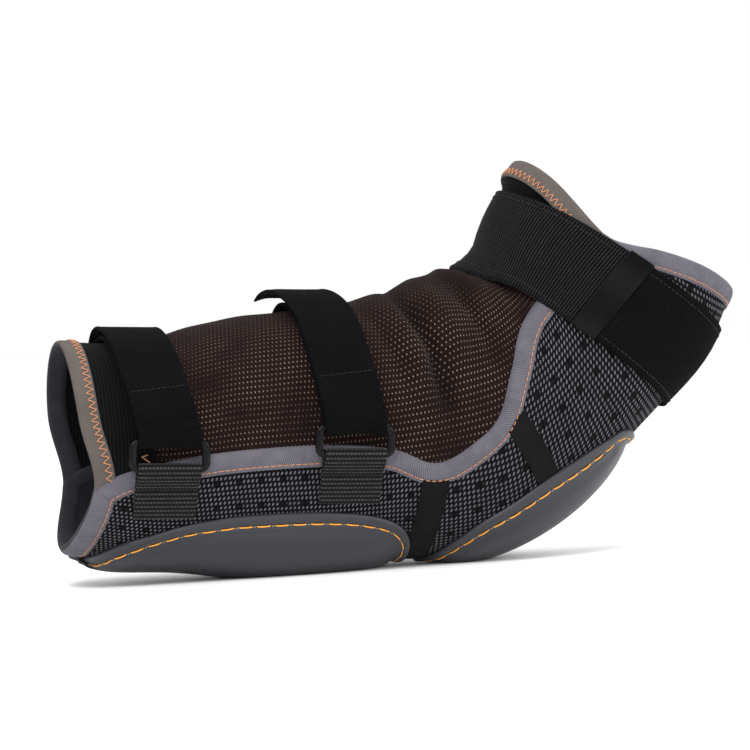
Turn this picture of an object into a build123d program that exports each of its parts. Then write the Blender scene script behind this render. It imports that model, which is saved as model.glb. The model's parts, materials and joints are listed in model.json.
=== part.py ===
"""A hock and tendon boot for a horse's hind leg, lying on its two moulded caps.

+X runs from the cannon (lower) opening towards the hock, +Z is up and -Y is the side with the strap loops.
The origin is on the flat underside of the tendon cap, in the boot's middle plane.
"""

from build123d import *

import math
import os

os.makedirs("parts", exist_ok=True)

# ---------------------------------------------------------------- driving dimensions, mm
# Sections of the leg sleeve: the front line, the back line (both X, Z) and half the width across.
STATIONS = [
    ((-104, 143.5), (-107, 22), 47),
    ((-58, 142), (-56, 13), 49),
    ((-8, 152), (-2, 9.5), 51),
    ((48, 156.5), (48, 7.5), 53),
    ((89, 162.5), (84, 6.2), 54),
    ((119, 172.5), (121, 5.2), 55),
    ((143, 181.5), (162, 12), 55),
    ((155.5, 192), (200, 34), 54),
    ((160, 205), (233, 58), 53),
    ((164.5, 218), (264, 85), 52),
    ((171, 229), (297, 117), 51),
    ((179, 238), (320, 160), 50),
]

# Layers, as distances outward from the sleeve's surface.
LINER_IN = -3.5
PANEL_IN = -0.5
PANEL_OUT = 1.5
MESH_IN = -1.2
MESH_OUT = 0.0
FACING_OUT = 0.9
TAPE_OUT = 2.2
BINDING_OUT = 2.3
TAB_IN = 2.6
TAB_OUT = 5.2
STRAP_IN = 3.0
STRAP_OUT = 4.8
KEEPER_OUT = 6.2
FLAP_IN = 8.8
FLAP_OUT = 10.6
HOOK_THICKNESS = 1.2

# The free edges of the body panel and of the sleeve's two ends, seen from the side.
NOTCH_LOW = (-95, 59)
PANEL_EDGE = [
    NOTCH_LOW, (-76, 67), (-28, 74.5), (37, 76), (82, 71), (101, 61.5),
    (113, 61.5), (130, 71), (147, 86), (157, 114), (171, 148), (222, 198),
]
LOW_END = [(-104, 144), (-102, 98), NOTCH_LOW, (-107, 20)]
HIGH_END = [(179, 238), (205, 212), (215, 198), (238, 185), (256, 181), (292, 168.5), (320, 153)]
SLEEVE_OUTLINE = [
    (-104, 300), *LOW_END, (-107, -60), (400, -60), (400, 110), (324, 150), *HIGH_END[::-1], (150, 300)
]
BINDING_WIDTH = 11
# The facings at the mesh's two ends: where each runs, and the step to its inner edge.
FACINGS = {
    "cannon": ([(-112, 160), *LOW_END[:3], (-93, 40)], (9, 0)),
    "gaskin": ([(160, 257), *HIGH_END[:3], (225, 191)], (-6, -7)),
}
TOP_BINDING = [(210, 203), *HIGH_END[2:6], (330, 148)]
TOP_BINDING_STEP = (-4, -10)
CLEARANCE = 0.2

# The seam between the two caps, where the boot bends with the hock.
HINGE = (106, 3)
FLEX_LOW_DEG = -14
FLEX_HIGH_DEG = 11
SEAM_TAPE = [(99.5, 57.5), (113, 57.5), (110, 29.5), (104, 2), (98, 2), (95, 29.5)]
HOCK_TAPE = [(150, 80.5), (163, 90.5), (188, 57), (174, 48.5)]

# Moulded caps: X, half the width and the underside's Z of the tendon cap; the hock cap's ellipsoid.
CAP_WALL = 2.5
CAP_FLANGE_OUT = 3.6
CAP_CENTRE_Z = 60
TENDON_CAP = [
    (-110, 20, 21), (-92, 33, 11), (-55, 46, 6), (-16, 48, 0.5), (15, 49, -4),
    (46, 49.5, -4.5), (76, 48.5, -2), (89, 45, 1.5), (97, 40, 6),
]
TENDON_RIM = [
    (-104, 14.5), (-83, 26), (-52, 34), (-22, 38), (9, 39), (40, 37.5), (63, 34.5), (79, 29.5),
    (89, 23.5), (94, 14),
]
TENDON_CORNERS = [(94, -30), (-112, -30), (-112, 12)]
HOCK_CENTRE = (173.5, 50)
HOCK_CHORD_DEG = 28.3
HOCK_RADII = (82, 44, 40)
HOCK_RIM = [(105, 0), (123.5, 13.5), (143, 27.5), (170, 43.5), (195.5, 56.5), (232, 73.5), (247, 76)]
HOCK_CORNERS = [(256, 68), (256, -30), (105, -30)]

# Strap loops, tabs and straps.
LOOP_WIDTH = 47
BAR_RADIUS = 1.8
BAR_SPACING = 16
BAR_OFFSET = 6.8
LOOP_CORNER = 4.5
LOOP_INNER_CORNER = 1.2
LOOP_TILT_DEG = 3.2
WEB_WIDTH = 37
STRAP_THICKNESS = STRAP_OUT - STRAP_IN
TAB_DROP = 28
TAB_FOOT = 9
LOOPS = {"lower": (-54, 76.5), "upper": (56, 78.8)}
LEAN = {"lower": -0.13, "upper": -0.08}
FLAP_END_Y = -6
HOOK_END_Y = -38
FOLD_INNER_RISE = 2.4
FOLD_GAP = 0.6
PEEL_RISE = 6
PEEL_GAP = 1.5
SEWN_LOW_Z = 38
SEWN_HIGH_Z = 53

# The wide closing strap round the upper opening: two edges, each a line through two points.
WIDE_UPPER_EDGE = ((166, 224.5), (312, 138))
WIDE_LOWER_EDGE = ((143.5, 179.5), (274, 90))
KEEPER_LINE = ((200, 136), (241, 177))
KEEPER_WIDTH = 17
WIDE_HOOK_IN = 1.8
WIDE_HOOK_START = 30
WIDE_END_Y = 6

FAR = 450.0
DEEP = 100.0


# ---------------------------------------------------------------- shapes that the pieces share
def section_plane(front, back):
    """The plane of one sleeve section, with its own x towards the front line."""
    middle = ((front[0] + back[0]) / 2, (front[1] + back[1]) / 2)
    ahead = (front[0] - middle[0], front[1] - middle[1])
    return Plane(
        origin=(middle[0], 0, middle[1]),
        x_dir=(ahead[0], 0, ahead[1]),
        z_dir=(-ahead[1], 0, ahead[0]),
    )


def sleeve(offset):
    """The solid that fills the sleeve, grown outward by offset."""
    with BuildPart() as body:
        for front, back, half_width in STATIONS:
            half_height = math.dist(front, back) / 2
            with BuildSketch(section_plane(front, back)):
                Ellipse(half_height + offset, half_width + offset)
        loft()
    return body.part


def layer(inner, outer):
    """The wall between two distances from the sleeve's surface."""
    with BuildPart() as wall:
        add(SLEEVES[outer])
        add(SLEEVES[inner], mode=Mode.SUBTRACT)
    return wall.part


def prism(points):
    """A polygon seen from the side, given depth right across the boot."""
    with BuildPart() as body:
        with BuildSketch(Plane.XZ):
            with BuildLine():
                Polyline(*points, close=True)
            make_face()
        extrude(amount=DEEP, both=True)
    return body.part


def below(line, *corners):
    """Everything under a smooth line seen from the side, closed through the given corners."""
    with BuildPart() as body:
        with BuildSketch(Plane.XZ):
            with BuildLine():
                edge = Spline(*line)
                Polyline(edge @ 1, *corners, edge @ 0)
            make_face()
        extrude(amount=DEEP, both=True)
    return body.part


def band_beside(line, step):
    """The band between a line seen from the side and its copy moved by a step."""
    return prism([*line, *[(x + step[0], z + step[1]) for x, z in line[::-1]]])


def lowered(line, drop):
    """A line seen from the side, moved by drop to its right."""
    moved = []
    for i, point in enumerate(line):
        before = line[max(i - 1, 0)]
        after = line[min(i + 1, len(line) - 1)]
        run = math.dist(before, after)
        moved.append((
            point[0] + drop * (after[1] - before[1]) / run,
            point[1] - drop * (after[0] - before[0]) / run,
        ))
    return moved


def under_panel_edge(drop):
    """Everything below the body panel's free edge, lowered by drop."""
    line = lowered(PANEL_EDGE, drop)
    beyond = (line[-1][0] + DEEP, line[-1][1] + DEEP)
    return below(line, beyond, (FAR, beyond[1]), (FAR, -DEEP), (-FAR, -DEEP), (-FAR, line[0][1] - 9))


def along(line, reach):
    """The point beyond the second point of a line, by reach; negative reach lies before the first."""
    run = math.dist(*line)
    start = line[1] if reach > 0 else line[0]
    return tuple(start[i] + reach * (line[1][i] - line[0][i]) / run for i in (0, 1))


def ray(degrees):
    """A point far from the hinge, at an angle from straight up."""
    turn = math.radians(degrees)
    return (HINGE[0] + FAR * math.sin(turn), HINGE[1] + FAR * math.cos(turn))


def slab(low_y, high_y):
    """Everything between two distances across the boot."""
    with BuildPart() as body:
        with BuildSketch(Plane.XZ.offset(-high_y)):
            Rectangle(FAR * 2, FAR * 2)
        extrude(amount=high_y - low_y)
    return body.part


def above_floor(height):
    """Everything above a level."""
    with BuildPart() as body:
        with BuildSketch(Plane.XY.offset(height)):
            Rectangle(FAR * 2, DEEP * 2)
        extrude(amount=FAR)
    return body.part


def half_width_at(x, z):
    """Half the sleeve's width at a place seen from the side."""
    for low, high in zip(STATIONS, STATIONS[1:]):
        if low[1][0] <= x <= high[1][0]:
            share = (x - low[1][0]) / (high[1][0] - low[1][0])
            front_z = low[0][1] + share * (high[0][1] - low[0][1])
            back_z = low[1][1] + share * (high[1][1] - low[1][1])
            width = low[2] + share * (high[2] - low[2])
            rise = (2 * z - front_z - back_z) / (front_z - back_z)
            return width * math.sqrt(1 - rise * rise)
    raise ValueError(f"no section beside x = {x}")


def bar_plane(loop, up):
    """A plane across a loop: its own x is outward, y is up the loop and z is along the bars."""
    turn = math.radians(LOOP_TILT_DEG)
    side = -(half_width_at(*loop) + BAR_OFFSET)
    return Plane(
        origin=(loop[0] + up * math.sin(turn), side, loop[1] + up * math.cos(turn)),
        x_dir=(0, -1, 0),
        z_dir=(-math.cos(turn), 0, math.sin(turn)),
    )


def face_plane(loop):
    """The plane of a loop, seen from outside: its own x runs back along the bars and y is up."""
    across = bar_plane(loop, 0)
    return Plane(origin=across.origin, x_dir=across.z_dir, z_dir=across.x_dir)


def beside_loop(loop, lean, low, high, width):
    """A leaning band seen from the side, from low to high along the loop's own upright."""
    turn = math.radians(LOOP_TILT_DEG)
    points = []
    for side, up in ((-1, low), (1, low), (1, high), (-1, high)):
        across = side * width / 2 + lean * (up - BAR_SPACING / 2)
        points.append((
            loop[0] + across * math.cos(turn) + up * math.sin(turn),
            loop[1] - across * math.sin(turn) + up * math.cos(turn),
        ))
    return prism(points)


def keep(piece, name):
    """Labels a finished piece and writes its STEP file."""
    piece.part.label = name
    export_step(piece.part, f"parts/{name}.step")


SLEEVES = {
    offset: sleeve(offset)
    for offset in (
        LINER_IN, MESH_IN, PANEL_IN, MESH_OUT, FACING_OUT, PANEL_OUT, PANEL_OUT + CLEARANCE,
        WIDE_HOOK_IN, TAPE_OUT, BINDING_OUT, TAB_IN, STRAP_IN, CAP_FLANGE_OUT, STRAP_OUT, TAB_OUT,
        KEEPER_OUT, FLAP_IN - HOOK_THICKNESS, FLAP_IN, FLAP_OUT,
    )
}
ZONES = {
    "cannon": prism([(-FAR, -60), (HINGE[0], -60), HINGE, ray(FLEX_LOW_DEG), (-FAR, FAR)]),
    "flex": prism([HINGE, ray(FLEX_LOW_DEG), ray(FLEX_HIGH_DEG)]),
    "gaskin": prism([(FAR, -60), (HINGE[0], -60), HINGE, ray(FLEX_HIGH_DEG), (FAR, FAR)]),
}
TRIM = prism(SLEEVE_OUTLINE)
BELOW_EDGE = under_panel_edge(0)
BELOW_BINDING = under_panel_edge(BINDING_WIDTH)

# ---------------------------------------------------------------- the sleeve's layers
LINER_WALL = layer(LINER_IN, PANEL_IN)
PANEL_WALL = layer(PANEL_IN, PANEL_OUT)
MESH_WALL = layer(MESH_IN, MESH_OUT)
BINDING_WALL = layer(PANEL_OUT, BINDING_OUT)
FACING_WALL = layer(MESH_OUT, FACING_OUT)
TAPE_WALL = layer(PANEL_OUT, TAPE_OUT)

for section, zone in ZONES.items():
    with BuildPart() as liner:
        add(LINER_WALL)
        for limit in (BELOW_EDGE, TRIM, zone):
            add(limit, mode=Mode.INTERSECT)
    keep(liner, f"{section}_liner")

    with BuildPart() as panel:
        add(PANEL_WALL)
        for limit in (BELOW_EDGE, TRIM, zone):
            add(limit, mode=Mode.INTERSECT)
    keep(panel, f"{section}_panel")

    with BuildPart() as front_mesh:
        add(MESH_WALL)
        add(BELOW_EDGE, mode=Mode.SUBTRACT)
        for limit in (TRIM, zone):
            add(limit, mode=Mode.INTERSECT)
    keep(front_mesh, f"{section}_front_mesh")

    with BuildPart() as binding:
        add(BINDING_WALL)
        for limit in (BELOW_EDGE, TRIM, zone):
            add(limit, mode=Mode.INTERSECT)
        add(BELOW_BINDING, mode=Mode.SUBTRACT)
    keep(binding, f"{section}_binding")

for section, (line, step) in FACINGS.items():
    band = band_beside(line, step)
    with BuildPart() as facing:
        add(FACING_WALL)
        add(BELOW_EDGE, mode=Mode.SUBTRACT)
        for limit in (TRIM, band):
            add(limit, mode=Mode.INTERSECT)
    keep(facing, f"{section}_mesh_facing")

top_band = band_beside(TOP_BINDING, TOP_BINDING_STEP)
with BuildPart() as gaskin_top_binding:
    add(BINDING_WALL)
    for limit in (BELOW_BINDING, TRIM, top_band):
        add(limit, mode=Mode.INTERSECT)
keep(gaskin_top_binding, "gaskin_top_binding")

for name, outline in {"flex_seam_tape": SEAM_TAPE, "hock_seam_tape": HOCK_TAPE}.items():
    region = prism(outline)
    with BuildPart() as tape:
        add(TAPE_WALL)
        for limit in (BELOW_BINDING, region):
            add(limit, mode=Mode.INTERSECT)
    keep(tape, name)


# ---------------------------------------------------------------- moulded caps and their pads
def tendon_dome(inset):
    """The tendon cap's outer form, drawn in by inset."""
    with BuildPart() as body:
        for x, half_width, bottom in TENDON_CAP:
            with BuildSketch(Plane.YZ.offset(x)):
                with Locations((0, CAP_CENTRE_Z)):
                    Ellipse(half_width - inset, CAP_CENTRE_Z - bottom - inset)
        loft()
    return body.part


def hock_dome(inset):
    """The hock cap's outer form, an ellipsoid laid along its chord, drawn in by inset."""
    turn = math.radians(HOCK_CHORD_DEG)
    ball = scale(Sphere(1, mode=Mode.PRIVATE), by=tuple(radius - inset for radius in HOCK_RADII))
    place = Plane(
        origin=(HOCK_CENTRE[0], 0, HOCK_CENTRE[1]),
        x_dir=(math.cos(turn), 0, math.sin(turn)),
        z_dir=(-math.sin(turn), 0, math.cos(turn)),
    )
    return place * ball


CAPS = {
    "tendon": (tendon_dome, below(TENDON_RIM, *TENDON_CORNERS)),
    "hock": (hock_dome, below(HOCK_RIM, *HOCK_CORNERS)),
}
for name, (dome, region) in CAPS.items():
    outer = dome(0)
    inner = dome(CAP_WALL)
    core = dome(CAP_WALL + CLEARANCE)
    ground = above_floor(0)
    ground_inside = above_floor(CAP_WALL)
    pad_ground = above_floor(CAP_WALL + CLEARANCE)
    with BuildPart() as hollow:
        add(inner)
        add(ground_inside, mode=Mode.INTERSECT)
        add(SLEEVES[PANEL_OUT + CLEARANCE])
    with BuildPart() as cap:
        add(outer)
        add(SLEEVES[CAP_FLANGE_OUT])
        for limit in (region, ground):
            add(limit, mode=Mode.INTERSECT)
        add(hollow.part, mode=Mode.SUBTRACT)
    keep(cap, f"{name}_cap")

    with BuildPart() as pad:
        add(core)
        for limit in (region, pad_ground):
            add(limit, mode=Mode.INTERSECT)
        add(SLEEVES[PANEL_OUT + CLEARANCE], mode=Mode.SUBTRACT)
    keep(pad, f"{name}_pad")

# ---------------------------------------------------------------- strap loops, tabs and straps
TAB_WALL = layer(TAB_IN, TAB_OUT)
STRAP_WALL = layer(STRAP_IN, STRAP_OUT)
SEWN_WALL = layer(PANEL_OUT, STRAP_OUT)
FLAP_WALL = layer(FLAP_IN, FLAP_OUT)
HOOK_WALL = layer(FLAP_IN - HOOK_THICKNESS, FLAP_IN)
NEAR_SIDE = slab(-DEEP, 0)
FAR_SIDE = slab(0, DEEP)
FLAP_SIDE = slab(-DEEP, FLAP_END_Y)
HOOK_SIDE = slab(HOOK_END_Y, FLAP_END_Y)
EYE = BAR_RADIUS + CLEARANCE
FOLD = EYE + STRAP_THICKNESS
TAB_KNEE = FOLD - 0.3

for name, loop in LOOPS.items():
    half_loop = BAR_SPACING / 2
    tab_region = beside_loop(loop, 0, -half_loop - TAB_DROP, -half_loop - EYE, WEB_WIDTH)
    tab_skin = half_width_at(loop[0], loop[1] - half_loop - TAB_FOOT) - half_width_at(*loop)
    tab_skin += TAB_OUT - BAR_OFFSET
    with BuildPart() as tab:
        add(TAB_WALL)
        for limit in (tab_region, NEAR_SIDE):
            add(limit, mode=Mode.INTERSECT)
        with BuildSketch(bar_plane(loop, -half_loop)):
            Circle(FOLD)
            with BuildLine():
                Polyline(
                    (TAB_KNEE, -1), (tab_skin, -TAB_FOOT), (tab_skin - STRAP_THICKNESS, -TAB_FOOT),
                    (-TAB_KNEE, -1), close=True,
                )
            make_face()
            Circle(EYE, mode=Mode.SUBTRACT)
        extrude(amount=WEB_WIDTH / 2, both=True)
    keep(tab, f"{name}_loop_tab")

    with BuildPart() as ring:
        with BuildSketch(face_plane(loop)):
            RectangleRounded(LOOP_WIDTH, BAR_SPACING + 2 * BAR_RADIUS, LOOP_CORNER)
            RectangleRounded(
                LOOP_WIDTH - 4 * BAR_RADIUS, BAR_SPACING - 2 * BAR_RADIUS, LOOP_INNER_CORNER,
                mode=Mode.SUBTRACT,
            )
        extrude(amount=BAR_RADIUS, both=True)
        fillet(ring.edges(), BAR_RADIUS * 0.8)
    keep(ring, f"{name}_loop")

    with BuildPart() as fold:
        with BuildSketch(bar_plane(loop, half_loop)):
            Circle(FOLD)
            Circle(EYE, mode=Mode.SUBTRACT)
            with Locations((0, FOLD / 2)):
                Rectangle(2 * FOLD, FOLD, mode=Mode.SUBTRACT)
            with Locations((-EYE - STRAP_THICKNESS / 2, FOLD_INNER_RISE / 2)):
                Rectangle(STRAP_THICKNESS, FOLD_INNER_RISE)
            with Locations((EYE + STRAP_THICKNESS / 2, (PEEL_RISE - PEEL_GAP) / 2)):
                Rectangle(STRAP_THICKNESS, PEEL_RISE - PEEL_GAP)
        extrude(amount=WEB_WIDTH / 2, both=True)
    keep(fold, f"{name}_strap_fold")

    with BuildPart() as bend:
        with BuildSketch(bar_plane(loop, half_loop + PEEL_RISE)):
            with Locations((EYE + STRAP_THICKNESS / 2, 0)):
                Rectangle(STRAP_THICKNESS, 2 * PEEL_GAP)
        extrude(amount=WEB_WIDTH / 2, both=True)
    keep(bend, f"{name}_strap_bend")

    high = half_loop + PEEL_RISE + PEEL_GAP
    flap_region = beside_loop(loop, LEAN[name], high, 2 * DEEP, WEB_WIDTH)
    with BuildPart() as flap:
        add(FLAP_WALL)
        for limit in (flap_region, FLAP_SIDE):
            add(limit, mode=Mode.INTERSECT)
    keep(flap, f"{name}_strap_flap")

    with BuildPart() as hook:
        add(HOOK_WALL)
        for limit in (flap_region, HOOK_SIDE):
            add(limit, mode=Mode.INTERSECT)
    keep(hook, f"{name}_strap_hook")

    near_low = half_loop + FOLD_INNER_RISE + FOLD_GAP
    near_region = beside_loop(loop, LEAN[name], near_low, 2 * DEEP, WEB_WIDTH)
    with BuildPart() as near_limit:
        add(near_region)
        add(NEAR_SIDE, mode=Mode.INTERSECT)
    far_low = SEWN_LOW_Z - loop[1]
    far_region = beside_loop(loop, LEAN[name], far_low, 2 * DEEP, WEB_WIDTH)
    with BuildPart() as far_limit:
        add(far_region)
        add(FAR_SIDE, mode=Mode.INTERSECT)
    sewn_region = beside_loop(loop, LEAN[name], far_low, SEWN_HIGH_Z - loop[1], WEB_WIDTH)
    with BuildPart() as sewn:
        add(SEWN_WALL)
        for limit in (sewn_region, FAR_SIDE):
            add(limit, mode=Mode.INTERSECT)
    with BuildPart() as both_sides:
        add(near_limit.part)
        add(far_limit.part)
    with BuildPart() as strap:
        add(STRAP_WALL)
        add(both_sides.part, mode=Mode.INTERSECT)
        add(sewn.part)
    keep(strap, f"{name}_strap")

# ---------------------------------------------------------------- the wide closing strap
KEEPER_WALL = layer(STRAP_OUT, KEEPER_OUT)
WIDE_HOOK_WALL = layer(WIDE_HOOK_IN, STRAP_IN)
WIDE_END_SIDE = slab(-DEEP, WIDE_END_Y)


def beyond_keeper(near, far):
    """The strap's stretch between two distances past the keeper's middle line, seen from the side."""
    low, high = along(KEEPER_LINE, -DEEP), along(KEEPER_LINE, DEEP)
    run = math.dist(low, high)
    out = ((high[1] - low[1]) / run, -(high[0] - low[0]) / run)
    return prism([
        (low[0] + near * out[0], low[1] + near * out[1]),
        (high[0] + near * out[0], high[1] + near * out[1]),
        (high[0] + far * out[0], high[1] + far * out[1]),
        (low[0] + far * out[0], low[1] + far * out[1]),
    ])


WIDE_BAND = prism([
    along(WIDE_UPPER_EDGE, -40), along(WIDE_UPPER_EDGE, 40),
    along(WIDE_LOWER_EDGE, 40), along(WIDE_LOWER_EDGE, -40),
])
TO_KEEPER = beyond_keeper(-FAR, KEEPER_WIDTH / 2)
AT_KEEPER = beyond_keeper(-KEEPER_WIDTH / 2, KEEPER_WIDTH / 2)
AT_BEND = beyond_keeper(KEEPER_WIDTH / 2, KEEPER_WIDTH / 2 + 2 * PEEL_GAP)
PAST_BEND = beyond_keeper(KEEPER_WIDTH / 2 + 2 * PEEL_GAP, FAR)
AT_TIP = beyond_keeper(KEEPER_WIDTH / 2 + WIDE_HOOK_START, FAR)
SEWN_WIDE = beyond_keeper(-KEEPER_WIDTH, KEEPER_WIDTH / 2)

with BuildPart() as wide_sewn:
    add(SEWN_WALL)
    for limit in (WIDE_BAND, SEWN_WIDE, FAR_SIDE, BELOW_BINDING):
        add(limit, mode=Mode.INTERSECT)
    add(top_band, mode=Mode.SUBTRACT)
with BuildPart() as gaskin_strap_elastic:
    add(STRAP_WALL)
    for limit in (WIDE_BAND, TO_KEEPER):
        add(limit, mode=Mode.INTERSECT)
    add(wide_sewn.part)
keep(gaskin_strap_elastic, "gaskin_strap_elastic")

WIDE_PIECES = {
    "gaskin_strap_keeper": (KEEPER_WALL, AT_KEEPER, NEAR_SIDE),
    "gaskin_strap_bend": (STRAP_WALL, AT_BEND, NEAR_SIDE),
    "gaskin_strap_end": (STRAP_WALL, PAST_BEND, WIDE_END_SIDE),
    "gaskin_strap_hook": (WIDE_HOOK_WALL, AT_TIP, WIDE_END_SIDE),
}
for name, (wall, stretch, side) in WIDE_PIECES.items():
    with BuildPart() as piece:
        add(wall)
        for limit in (WIDE_BAND, stretch, side):
            add(limit, mode=Mode.INTERSECT)
    keep(piece, name)
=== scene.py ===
"""The hock and tendon boot as it lies on its two caps, with its cloth, caps, straps and stitching.

Lengths are in millimetres up to the point where a mesh is made. A place on the sleeve is given by s, the
section along the leg, phi, the angle round it (0 at the front, positive on the near side), and the
distance outward from the sleeve's surface. Lines seen from the side are lists of (X, Z).
"""
import json
import math

import bpy
import numpy as np
from mathutils import Matrix, Vector
from mathutils.bvhtree import BVHTree


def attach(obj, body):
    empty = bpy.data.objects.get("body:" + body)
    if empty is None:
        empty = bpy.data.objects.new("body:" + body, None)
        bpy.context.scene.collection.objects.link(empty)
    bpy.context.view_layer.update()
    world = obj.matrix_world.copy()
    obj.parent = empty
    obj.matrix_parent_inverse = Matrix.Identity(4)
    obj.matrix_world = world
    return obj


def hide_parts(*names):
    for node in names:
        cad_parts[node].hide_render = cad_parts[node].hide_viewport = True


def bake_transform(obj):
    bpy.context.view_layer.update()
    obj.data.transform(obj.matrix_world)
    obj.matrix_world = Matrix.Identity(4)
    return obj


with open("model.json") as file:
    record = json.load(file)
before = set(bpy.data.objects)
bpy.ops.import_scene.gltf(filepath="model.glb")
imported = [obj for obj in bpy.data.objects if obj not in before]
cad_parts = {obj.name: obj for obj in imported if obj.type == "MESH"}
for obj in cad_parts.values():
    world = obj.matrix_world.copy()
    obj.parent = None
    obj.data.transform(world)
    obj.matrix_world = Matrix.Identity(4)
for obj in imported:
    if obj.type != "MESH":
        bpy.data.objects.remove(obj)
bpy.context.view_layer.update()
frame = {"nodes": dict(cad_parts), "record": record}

MM = 0.001
TAU = 2 * math.pi

# ---------------------------------------------------------------- driving sizes, mm
# Sections of the leg sleeve: front line X, Z, back line X, Z, and half the width across.
STATIONS = np.array([
    (-104, 143.5, -107, 22, 47),
    (-58, 142, -56, 13, 49),
    (-8, 152, -2, 9.5, 51),
    (48, 156.5, 48, 7.5, 53),
    (89, 162.5, 84, 6.2, 54),
    (119, 172.5, 121, 5.2, 55),
    (143, 181.5, 162, 12, 55),
    (155.5, 192, 200, 34, 54),
    (160, 205, 233, 58, 53),
    (166.5, 217.5, 264, 85, 52),
    (175, 229, 297, 117, 51),
    (184, 239, 320, 160, 50),
], float)
PANEL_EDGE = [
    (-95, 59), (-76, 67), (-28, 74.5), (37, 76), (82, 71), (101, 61.5),
    (113, 61.5), (130, 71), (147, 86), (157, 114), (171, 148), (222, 198),
]
LOW_END = [(-104, 160), (-104, 144), (-102, 98), (-95, 59), (-107, 20), (-107, 0)]
HIGH_END = [
    (164, 257), (184, 239), (195, 226), (205, 211), (215, 197), (224, 188.5),
    (238, 184), (256, 180), (284, 170.5), (308, 159), (320, 152), (350, 134),
]
LAST = len(STATIONS) - 1
BEYOND = 0.9  # how far the sleeve is followed past its end sections, as a share of a section
CLOTH_PER_RADIAN = 68.0  # cloth round the sleeve to a radian

HINGE = (106, 3)  # the hock's hinge line, X and Z
FLEX_DEG = (-14, 11)  # the bend lies between these angles round the hinge
WIDE_UPPER_EDGE = ((166, 227.5), (300, 137))
WIDE_LOWER_EDGE = ((139, 179.5), (262, 93))
KEEPER_LINE = ((200, 136), (241, 177))
SQUEEZE = 5.0  # how far the wide strap presses the front in
BINDING_WIDTH = 11
WEB_WIDTH = 37
STRAP_THICKNESS = 1.8
LOOP_WIDTH = 47
LOOP_TILT_DEG = 3.2
BAR_SPACING = 16
BAR_RADIUS = 1.8
EYE = 2.0  # inner radius of the webbing's fold round a bar
THREAD_SIDES = 6

CAMERA_TURN_DEG = -17
CAMERA_DROP_DEG = 2
CAMERA_ROLL_DEG = 2.5
CAMERA_DISTANCE = 2000
CAMERA_LENS = 160
CAMERA_TARGET = (88, 0, 114.5)
FLOOR_Z = -0.5


# ---------------------------------------------------------------- the sleeve as a surface
def spline_rows(rows, t):
    """Rows of numbers followed as one smooth curve; t counts the rows."""
    rows = np.asarray(rows, float)
    rows = np.vstack([2 * rows[0] - rows[1], rows, 2 * rows[-1] - rows[-2]])
    t = np.asarray(t, float)
    i = np.clip(np.floor(t).astype(int), 0, len(rows) - 4)
    f = (t - i)[..., None]
    a, b, c, d = rows[i], rows[i + 1], rows[i + 2], rows[i + 3]
    return b + 0.5 * f * (c - a + f * (2 * a - 5 * b + 4 * c - d + f * (3 * (b - c) + d - a)))


def curve(points, count=300):
    """A smooth line through given points."""
    return spline_rows(points, np.linspace(0, len(points) - 1, count))


def surface(s, phi, offset=0.0):
    """The point at section s and angle phi, offset outward from the sleeve."""
    s, phi, offset = np.broadcast_arrays(
        np.asarray(s, float), np.asarray(phi, float), np.asarray(offset, float))
    row = spline_rows(STATIONS, s)
    front, back, width = row[..., 0:2], row[..., 2:4], row[..., 4]
    height = np.linalg.norm(front - back, axis=-1) / 2
    ahead = (front - back) / (2 * height[..., None])
    place = (front + back) / 2 + ahead * ((height + offset) * np.cos(phi))[..., None]
    return np.stack([place[..., 0], -(width + offset) * np.sin(phi), place[..., 1]], -1)


def unit(v):
    """Vectors at length one."""
    return v / np.maximum(np.linalg.norm(v, axis=-1, keepdims=True), 1e-9)


def ease(share):
    """A smooth step from 0 to 1."""
    share = np.clip(share, 0, 1)
    return share * share * (3 - 2 * share)


def outward(s, phi):
    """The sleeve's outward direction."""
    step = 1e-3
    ds = surface(np.asarray(s) + step, phi) - surface(np.asarray(s) - step, phi)
    dp = surface(s, np.asarray(phi) + step) - surface(s, np.asarray(phi) - step)
    return unit(np.cross(dp, ds)) * np.sign(
        (np.cross(dp, ds) * (surface(s, phi, 1.0) - surface(s, phi))).sum(-1))[..., None]


def chart(line):
    """The (s, phi) of points seen from the side, on the near half of the sleeve."""
    line = np.asarray(line, float)
    grid = np.linspace(-BEYOND, LAST + BEYOND, 1600)
    row = spline_rows(STATIONS, grid)
    front, back = row[:, 0:2], row[:, 2:4]
    ahead = front - back
    away = line[:, None, :] - back[None]
    side = ahead[None, :, 0] * away[..., 1] - ahead[None, :, 1] * away[..., 0]
    change = (side[:, :-1] > 0) & (side[:, 1:] <= 0) | (side[:, :-1] < 0) & (side[:, 1:] >= 0)
    i = change.argmax(1)
    k = np.arange(len(line))
    share = side[k, i] / (side[k, i] - side[k, i + 1])
    s = grid[i] + share * (grid[i + 1] - grid[i])
    row = spline_rows(STATIONS, s)
    ahead = row[:, 0:2] - row[:, 2:4]
    t = ((line - row[:, 2:4]) * ahead).sum(1) / (ahead ** 2).sum(1)
    return s, np.arccos(np.clip(2 * t - 1, -1, 1))


def crossing(side, phi, low, high):
    """The s, between low and high, at which the sleeve at angle phi first passes a line."""
    phi = np.asarray(phi, float)
    grid = np.linspace(low, high, 700)
    p = surface(grid[None], phi.reshape(-1, 1))
    value = side(p[..., 0], p[..., 2])
    change = (value[:, :-1] < 0) & (value[:, 1:] >= 0)
    i = change.argmax(1)
    k = np.arange(len(value))
    share = value[k, i] / (value[k, i] - value[k, i + 1])
    return (grid[i] + share * (grid[i + 1] - grid[i])).reshape(phi.shape)


def in_order(line, key):
    """A smooth line's points, sorted by one of their two numbers."""
    return line[np.argsort(line[:, key])].T


LOW_X, LOW_Z = in_order(curve(LOW_END), 1)
HIGH_X, HIGH_Z = in_order(curve(HIGH_END), 0)
EDGE_S, EDGE_PHI = in_order(np.stack(chart(curve(PANEL_EDGE)), -1), 0)


def past_low_end(x, z):
    """Positive on the boot's side of the cannon opening."""
    return x - np.interp(z, LOW_Z, LOW_X)


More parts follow.
